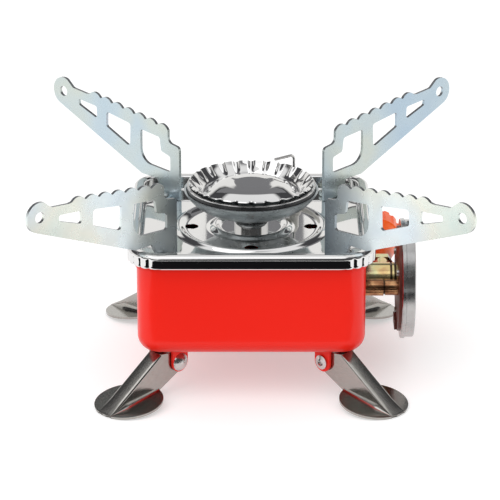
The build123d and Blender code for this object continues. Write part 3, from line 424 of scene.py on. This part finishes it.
class Finish:
    """One material with its shader and short ways to add textures to it."""

    def __init__(self, name, colour, metallic, roughness, **sockets):
        self.material = bpy.data.materials.new(name)
        self.material.use_nodes = True
        self.nodes = self.material.node_tree.nodes
        self.links = self.material.node_tree.links
        self.shader = self.nodes["Principled BSDF"]
        self.shader.inputs["Base Color"].default_value = (*colour, 1)
        self.shader.inputs["Metallic"].default_value = metallic
        self.shader.inputs["Roughness"].default_value = roughness
        for socket, value in sockets.items():
            self.shader.inputs[socket.replace("_", " ")].default_value = value
        self.place = self.nodes.new("ShaderNodeTexCoord")

    def noise(self, scale, detail=3.0, stretch=(1, 1, 1), coordinates="Object"):
        """Noise between 0 and 1 in the piece's coordinates, finer along an axis with a larger stretch."""
        mapping = self.nodes.new("ShaderNodeMapping")
        mapping.inputs["Scale"].default_value = stretch
        self.links.new(self.place.outputs[coordinates], mapping.inputs["Vector"])
        texture = self.nodes.new("ShaderNodeTexNoise")
        texture.inputs["Scale"].default_value = scale
        texture.inputs["Detail"].default_value = detail
        self.links.new(mapping.outputs["Vector"], texture.inputs["Vector"])
        return texture.outputs["Fac"]

    def along(self, axis, low, high):
        """Zero at one place on an axis of the piece and one at another, in metres."""
        apart = self.nodes.new("ShaderNodeSeparateXYZ")
        self.links.new(self.place.outputs["Object"], apart.inputs["Vector"])
        return self.span(apart.outputs[axis], low, high)

    def facing_up(self, low, high):
        """Zero where the surface is upright and one where it faces up or down."""
        apart = self.nodes.new("ShaderNodeSeparateXYZ")
        self.links.new(self.place.outputs["Normal"], apart.inputs["Vector"])
        size = self.nodes.new("ShaderNodeMath")
        size.operation = "ABSOLUTE"
        self.links.new(apart.outputs["Z"], size.inputs[0])
        return self.span(size.outputs["Value"], low, high)

    def combine(self, operation, first, second):
        """Two values put together by one arithmetic step."""
        step = self.nodes.new("ShaderNodeMath")
        step.operation = operation
        self.links.new(first, step.inputs[0])
        self.links.new(second, step.inputs[1])
        return step.outputs["Value"]

    def distance(self, near, far, wobble):
        """Zero at one distance from the burner's axis and one at another; noise makes the border uneven."""
        flat = self.nodes.new("ShaderNodeVectorMath")
        flat.operation = "MULTIPLY"
        flat.inputs[1].default_value = (1, 1, 0)
        self.links.new(self.place.outputs["Object"], flat.inputs[0])
        length = self.nodes.new("ShaderNodeVectorMath")
        length.operation = "LENGTH"
        self.links.new(flat.outputs["Vector"], length.inputs[0])
        shift = self.nodes.new("ShaderNodeMath")
        shift.operation = "MULTIPLY_ADD"
        shift.inputs[1].default_value = WOBBLE_SIZE
        self.links.new(wobble, shift.inputs[0])
        self.links.new(length.outputs["Value"], shift.inputs[2])
        return self.span(shift.outputs["Value"], near, far)

    def span(self, value, low, high, start=0.0, end=1.0):
        """A value stretched so that low and high become start and end."""
        span = self.nodes.new("ShaderNodeMapRange")
        span.inputs["From Min"].default_value = low
        span.inputs["From Max"].default_value = high
        span.inputs["To Min"].default_value = start
        span.inputs["To Max"].default_value = end
        self.links.new(value, span.inputs["Value"])
        return span.outputs["Result"]

    def mix(self, factor, first, second):
        """Colour that goes from one to another as the factor goes from 0 to 1."""
        blend = self.nodes.new("ShaderNodeMix")
        blend.data_type = "RGBA"
        self.links.new(factor, blend.inputs["Factor"])
        self.links.new(first, blend.inputs["A"])
        self.links.new(second, blend.inputs["B"])
        return blend.outputs["Result"]

    def ramp(self, factor, stops):
        """Colour read from a row of stops, each a place between 0 and 1 and its colour."""
        ramp = self.nodes.new("ShaderNodeValToRGB")
        elements = ramp.color_ramp.elements
        while len(elements) < len(stops):
            elements.new(0.5)
        for element, (place, colour) in zip(elements, stops):
            element.position = place
            element.color = (*colour, 1)
        self.links.new(factor, ramp.inputs["Fac"])
        return ramp.outputs["Color"]

    def grooves(self, start, end, places, half, border):
        """Black in each groove along X and white elsewhere, between two places in metres."""
        outer = half + border
        section = [(-outer, WHITE), (-half, BLACK), (half, BLACK), (outer, WHITE)]
        stops = [((place + offset - start) / (end - start), colour)
                 for place in places for offset, colour in section]
        return self.ramp(self.along("X", start, end), stops)

    def base(self, colour):
        """Lead a colour to the shader's base colour."""
        self.links.new(colour, self.shader.inputs["Base Color"])
        return self

    def colour(self, factor, stops):
        """Base colour from a ramp."""
        return self.base(self.ramp(factor, stops))

    def roughness(self, factor, low, high):
        """Roughness between two values, over the middle of the noise."""
        self.links.new(self.span(factor, 0.3, 0.7, low, high), self.shader.inputs["Roughness"])
        return self

    def bump(self, factor, strength, distance):
        """Fine relief from noise."""
        relief = self.nodes.new("ShaderNodeBump")
        relief.inputs["Strength"].default_value = strength
        relief.inputs["Distance"].default_value = distance
        self.links.new(factor, relief.inputs["Height"])
        self.links.new(relief.outputs["Normal"], self.shader.inputs["Normal"])
        return self


# %% The finishes of this burner
finishes = {}

enamel = Finish("red_enamel", (0.96, 0.013, 0.004), 0.0, 0.3, Specular_IOR_Level=0.25, Coat_Weight=0.2,
                Coat_Roughness=0.06)
enamel.colour(enamel.noise(9, 2), [(0.2, (0.96, 0.012, 0.003)), (0.8, (0.99, 0.016, 0.005))])
enamel.roughness(enamel.noise(12, 1), 0.28, 0.34).bump(enamel.noise(900, 2), 0.006, 0.0001)
finishes["red_paint"] = enamel

polish = Finish("polished_steel", (0.74, 0.74, 0.735), 1.0, 0.08)
polish.colour(polish.noise(18), [(0.3, (0.70, 0.70, 0.70)), (0.7, (0.78, 0.775, 0.765))])
polish.roughness(polish.noise(260, 4, (1, 0.06, 1)), 0.02, 0.07).bump(polish.noise(60, 2), 0.02, 0.0002)
finishes["polished_steel"] = polish

zinc = Finish("zinc_plate", (0.80, 0.87, 0.86), 0.7, 0.25)
front_colour = zinc.ramp(zinc.noise(24, 3), [(0.28, (0.68, 0.79, 0.88)), (0.44, (0.77, 0.85, 0.87)),
                                             (0.58, (0.85, 0.87, 0.78)), (0.72, (0.74, 0.85, 0.80))])
# Painted reflection: the rear pair is coloured darker and bluer, as they mirror darker surroundings; the
# front pair keeps the zinc's own colour.
rear_reflection_colour = zinc.ramp(zinc.noise(24, 3), [(0.28, (0.46, 0.58, 0.68)), (0.44, (0.53, 0.63, 0.68)),
                                            (0.58, (0.60, 0.65, 0.60)), (0.72, (0.53, 0.63, 0.64))])
# Painted reflection: the front pair's inner ends are coloured dark navy, as they mirror dark surroundings.
dark_reflection_colour = zinc.ramp(zinc.noise(40, 3), [(0.3, (0.035, 0.055, 0.085)), (0.7, (0.10, 0.13, 0.16))])
plate_and_rear_reflection = zinc.mix(zinc.along("Y", -0.02, 0.02), front_colour, rear_reflection_colour)
outer_end = zinc.distance(0.046, 0.072, zinc.noise(30, 2))
beyond_dark_reflection = zinc.combine("MAXIMUM", outer_end, zinc.along("Y", -0.03, 0.035))
# Painted reflection: the upward-facing cut edges are coloured dark, as they mirror the dark ceiling.
edge_reflection_colour = zinc.ramp(zinc.noise(200, 3), [(0.3, (0.16, 0.17, 0.18)), (0.7, (0.26, 0.27, 0.28))])
cut_edge = zinc.combine("MULTIPLY", zinc.facing_up(0.25, 0.6), zinc.along("Z", 0.058, 0.060))
plate_with_reflections = zinc.mix(beyond_dark_reflection, dark_reflection_colour, plate_and_rear_reflection)
zinc.base(zinc.mix(cut_edge, plate_with_reflections, edge_reflection_colour)).roughness(zinc.noise(120, 3), 0.22, 0.32)
finishes["zinc_plate"] = zinc

ring_plate = Finish("plated_ring", (0.62, 0.62, 0.62), 1.0, 0.22)
ring_plate.colour(ring_plate.noise(40, 4), [(0.3, (0.38, 0.38, 0.38)), (0.7, (0.58, 0.57, 0.56))])
ring_plate.roughness(ring_plate.noise(200, 4), 0.16, 0.32).bump(ring_plate.noise(300, 2), 0.03, 0.0001)

strip = Finish("leg_strip", (0.42, 0.40, 0.37), 1.0, 0.3)
strip.colour(strip.noise(40, 3, (1, 30, 1), "UV"), [(0.3, (0.31, 0.30, 0.28)), (0.7, (0.46, 0.445, 0.42))])
strip.roughness(strip.noise(90, 3, (1, 20, 1), "UV"), 0.1, 0.22)
strip.bump(strip.noise(160, 2, (1, 40, 1), "UV"), 0.06, 0.0002)
finishes["leg_steel"] = strip

satin = Finish("bowl_steel", (0.52, 0.57, 0.58), 0.75, 0.32)
satin.colour(satin.noise(50, 3), [(0.3, (0.46, 0.51, 0.53)), (0.7, (0.58, 0.63, 0.64))])
satin.roughness(satin.noise(400, 3, (1, 1, 6)), 0.26, 0.34).bump(satin.noise(500, 2), 0.004, 0.0001)
finishes["bowl_steel"] = satin

brass = Finish("passivated_brass", (0.62, 0.47, 0.24), 1.0, 0.2)
brass_colour = brass.ramp(brass.noise(120, 3), [(0.3, (0.50, 0.28, 0.15)), (0.45, (0.70, 0.53, 0.25)),
                                                (0.58, (0.62, 0.60, 0.33)), (0.72, (0.62, 0.38, 0.29))])
# Painted shade: near-black rings where the shade inside the valve's grooves falls.
groove_shade_colour = brass.ramp(brass.noise(300, 3), [(0.3, (0.03, 0.02, 0.012)), (0.7, (0.08, 0.05, 0.03))])
clear = brass.grooves(0.050, 0.060, [0.0545, 0.0561], 0.0003, 0.0003)
brass.base(brass.mix(clear, groove_shade_colour, brass_colour))
brass.roughness(brass.noise(500, 3), 0.08, 0.2).bump(brass.noise(1200, 2, (8, 1, 1)), 0.05, 0.0002)
finishes["brass"] = brass

bronze = Finish("stained_bronze", (0.33, 0.16, 0.08), 1.0, 0.2)
bronze_colour = bronze.ramp(bronze.noise(260, 5), [(0.3, (0.15, 0.06, 0.03)), (0.5, (0.38, 0.18, 0.09)),
                                                   (0.7, (0.56, 0.32, 0.16))])
# Painted shade: a near-black ring where the shade in the gap round the post falls.
gap_shade_colour = bronze.ramp(bronze.noise(300, 3), [(0.3, (0.03, 0.015, 0.01)), (0.7, (0.07, 0.035, 0.02))])
clear = bronze.grooves(0.048, 0.056, [0.0515], 0.00022, 0.00032)
bronze.base(bronze.mix(clear, gap_shade_colour, bronze_colour))
bronze.roughness(bronze.noise(500, 3), 0.1, 0.26).bump(bronze.noise(1200, 3), 0.1, 0.0002)
finishes["bronze_post"] = bronze

maroon = Finish("dark_red_coat", (0.13, 0.03, 0.022), 0.3, 0.4)
maroon.colour(maroon.noise(80, 3), [(0.3, (0.10, 0.022, 0.016)), (0.7, (0.18, 0.045, 0.03))])
maroon.roughness(maroon.noise(300, 3), 0.3, 0.5).bump(maroon.noise(900, 2), 0.05, 0.0002)
finishes["dark_plate"] = maroon

orange = Finish("orange_moulding", (0.99, 0.13, 0.002), 0.0, 0.35, Specular_IOR_Level=0.25)
orange.colour(orange.noise(30, 2), [(0.3, (0.97, 0.11, 0.002)), (0.7, (1.0, 0.15, 0.003))])
orange.roughness(orange.noise(200, 3), 0.28, 0.42).bump(orange.noise(1400, 2), 0.04, 0.0002)
finishes["orange_plastic"] = orange

black = Finish("black_moulding", (0.02, 0.02, 0.021), 0.0, 0.5)
black.colour(black.noise(60, 2), [(0.3, (0.016, 0.016, 0.017)), (0.7, (0.028, 0.028, 0.029))])
black.roughness(black.noise(400, 3), 0.42, 0.58).bump(black.noise(1600, 2), 0.08, 0.0002)
finishes["black_plastic"] = black

glaze = Finish("white_ceramic", (0.85, 0.83, 0.78), 0.0, 0.25, Coat_Weight=0.4)
glaze.colour(glaze.noise(150, 3), [(0.3, (0.80, 0.78, 0.72)), (0.7, (0.88, 0.86, 0.81))])
glaze.roughness(glaze.noise(300, 3), 0.2, 0.35)
finishes["ceramic"] = glaze

gum = Finish("black_rubber", (0.02, 0.02, 0.02), 0.0, 0.7)
gum.colour(gum.noise(200, 3), [(0.3, (0.014, 0.014, 0.014)), (0.7, (0.03, 0.03, 0.03))])
gum.bump(gum.noise(1500, 2), 0.1, 0.0002)
finishes["rubber"] = gum

bright = Finish("bright_steel", (0.62, 0.61, 0.60), 1.0, 0.2)
bright.colour(bright.noise(160, 3), [(0.3, (0.54, 0.53, 0.52)), (0.7, (0.68, 0.67, 0.66))])
bright.roughness(bright.noise(500, 3), 0.14, 0.3)
finishes["bright_steel"] = bright

# Painted shade: the band below the cap is coloured black as the shade in the gap, with steel's own colour
# above its upper edge.
black_shade = Finish("shade_black_steel", (0.012, 0.012, 0.013), 0.2, 0.5)
shade_black_colour = black_shade.ramp(black_shade.noise(200, 3), [(0.3, (0.008, 0.008, 0.009)), (0.7, (0.02, 0.02, 0.021))])
upper_steel_colour = black_shade.ramp(black_shade.noise(300, 3), [(0.3, (0.62, 0.62, 0.62)), (0.7, (0.78, 0.78, 0.77))])
upper_edge = black_shade.along("Z", 0.07255, 0.07265)
black_shade.links.new(upper_edge, black_shade.shader.inputs["Metallic"])
black_shade.base(black_shade.mix(upper_edge, shade_black_colour, upper_steel_colour)).roughness(black_shade.noise(300, 3), 0.2, 0.36)
finishes["black_steel"] = black_shade
print("finishes", sorted(finishes))

# %% Give every piece its finish
slot_of = {row["node"]: row["material_slot"] for row in frame["record"]["subparts"]}
for node, piece in frame["nodes"].items():
    piece.data.materials.clear()
    piece.data.materials.append(finishes[slot_of[node]].material)
frame["nodes"]["coupling_ring"].data.materials[0] = ring_plate.material
lid.data.materials.append(polish.material)
cap.data.materials.append(polish.material)
for leg in legs:
    leg.data.materials.append(strip.material)
print("dressed", len(slot_of), "nodes")

# %% [markdown]
# The set: a pale floor, an even white surround and one large soft lamp. Polished steel only shows what is
# round it, so reflections get a studio of their own: a dome with a white rear wall, a dim front and a dark
# ceiling with a white top, a dark board on the table in front, and a grey card behind that greys the cap's
# crown. None of them is seen by the camera or lights the paint. Steel then turns from white to black across
# a bend. The floor and the surround are white to the camera and in mirrors, and dimmer for the rays that
# light the object.

# %% Floor, surround and studio for reflections
scene_objects = bpy.context.scene.collection.objects


def flat_piece(name, points, finish):
    """A stage piece with one face."""
    mesh = bpy.data.meshes.new(name)
    mesh.from_pydata(points, [], [tuple(range(len(points)))])
    piece = bpy.data.objects.new(name, mesh)
    scene_objects.link(piece)
    piece.data.materials.append(finish.material)
    return piece


def reflections_only(piece):
    """Hide a stage piece from all but mirror-like rays."""
    piece.visible_camera = False
    piece.visible_diffuse = False
    piece.visible_shadow = False
    piece.visible_transmission = False
    piece.visible_volume_scatter = False


def seen_rays(tree, other, seen):
    """One level for rays from the camera, from mirrors and through glass, and another for all other rays."""
    path = tree.nodes.new("ShaderNodeLightPath")
    level = path.outputs["Is Camera Ray"]
    for kind in ("Is Glossy Ray", "Is Transmission Ray"):
        either = tree.nodes.new("ShaderNodeMath")
        either.operation = "MAXIMUM"
        tree.links.new(level, either.inputs[0])
        tree.links.new(path.outputs[kind], either.inputs[1])
        level = either.outputs["Value"]
    span = tree.nodes.new("ShaderNodeMapRange")
    span.inputs["To Min"].default_value = other
    span.inputs["To Max"].default_value = seen
    tree.links.new(level, span.inputs["Value"])
    return span.outputs["Result"]


floor_paint = Finish("pale_floor", (0.72, 0.72, 0.72), 0.0, 0.95, Specular_IOR_Level=0.0)
floor_paint.shader.inputs["Emission Color"].default_value = (*WHITE, 1)
floor_glow = seen_rays(floor_paint.material.node_tree, 0.0, 0.4)
floor_paint.links.new(floor_glow, floor_paint.shader.inputs["Emission Strength"])
flat_piece("floor", [(-4, -4, 0), (4, -4, 0), (4, 4, 0), (-4, 4, 0)], floor_paint)

board_paint = Finish("dark_board", (0.008, 0.008, 0.009), 0.0, 0.9, Specular_IOR_Level=0.0)
BOARD_OUTLINE = [(-0.12, -0.7), (0.12, -0.7), (0.12, -0.09), (-0.12, -0.09)]
reflections_only(flat_piece("dark_board", [(x, y, 0.001) for x, y in BOARD_OUTLINE], board_paint))

GREY_OUTLINE = [(-0.022, 0.15), (0.026, 0.15), (0.028, 0.235), (0.2, 0.29), (0.2, 0.42), (-0.2, 0.42),
                (-0.2, 0.29), (-0.024, 0.235)]
GREY_PLACE = 0.3
grey_paint = Finish("grey_card", (0.0, 0.0, 0.0), 0.0, 1.0, Specular_IOR_Level=0.0)
grey_paint.shader.inputs["Emission Color"].default_value = (0.24, 0.24, 0.25, 1)
grey_paint.shader.inputs["Emission Strength"].default_value = 1.0
reflections_only(flat_piece("grey_card", [(x, GREY_PLACE, z) for x, z in GREY_OUTLINE], grey_paint))

bpy.ops.mesh.primitive_uv_sphere_add(segments=64, ring_count=32, radius=3.0)
dome = bpy.context.object
dome.name = "studio_dome"
dome_paint = Finish("studio_dome", (0, 0, 0), 0.0, 1.0, Specular_IOR_Level=0.0)
split = dome_paint.nodes.new("ShaderNodeSeparateXYZ")
unit = dome_paint.nodes.new("ShaderNodeVectorMath")
unit.operation = "NORMALIZE"
dome_paint.links.new(dome_paint.place.outputs["Object"], unit.inputs[0])
dome_paint.links.new(unit.outputs["Vector"], split.inputs["Vector"])
WALL, CEILING = (1.0, 0.99, 0.97), (0.07, 0.07, 0.075)
rear = dome_paint.ramp(split.outputs["Z"], [(0.0, WALL), (0.42, WALL), (0.5, CEILING), (0.74, CEILING),
                                            (0.8, WHITE)])
front = dome_paint.ramp(split.outputs["Z"], [(0.0, (0.1, 0.1, 0.1)), (0.4, (0.08, 0.08, 0.08)),
                                             (0.7, CEILING), (0.8, (0.18, 0.18, 0.19)),
                                             (0.965, (0.22, 0.22, 0.23)), (0.985, WHITE)])
walls = dome_paint.mix(dome_paint.span(split.outputs["Y"], -0.35, -0.15), front, rear)
dome_paint.links.new(walls, dome_paint.shader.inputs["Emission Color"])
dome_paint.shader.inputs["Emission Strength"].default_value = 1.0
dome.data.materials.append(dome_paint.material)
reflections_only(dome)

world = bpy.data.worlds.new("surround")
bpy.context.scene.world = world
world.use_nodes = True
tree = world.node_tree
surround = tree.nodes["Background"]
surround.inputs["Color"].default_value = (*WHITE, 1)
tree.links.new(seen_rays(tree, 0.85, 1.0), surround.inputs["Strength"])
print("set", len(scene_objects), "objects")

# %% Lamp and camera
LAMP_SIDE, LAMP_WATTS = 1.4, 7.0
CAMERA_LENS, CAMERA_DROP = 203.7, 0.3705

lamp_data = bpy.data.lights.new("soft_lamp", "AREA")
lamp_data.shape = "RECTANGLE"
lamp_data.size, lamp_data.size_y = LAMP_SIDE, LAMP_SIDE
lamp_data.energy = LAMP_WATTS
lamp = bpy.data.objects.new("soft_lamp", lamp_data)
scene_objects.link(lamp)
lamp.location = (-0.5, -0.7, 1.1)
lamp.rotation_euler = (math.radians(38), 0, math.radians(-35))

camera_data = bpy.data.cameras.new("camera")
camera_data.sensor_width = 36.0
camera_data.lens = CAMERA_LENS
camera_data.clip_start = 0.05
camera = bpy.data.objects.new("camera", camera_data)
scene_objects.link(camera)
camera.location = (-0.0005, -1.0276, 0.4449)
camera.rotation_euler = (math.pi / 2 - CAMERA_DROP, 0, 0)
bpy.context.scene.camera = camera
bpy.context.scene.view_settings.view_transform = "Standard"
print("lens", CAMERA_LENS, "lamp", LAMP_WATTS)
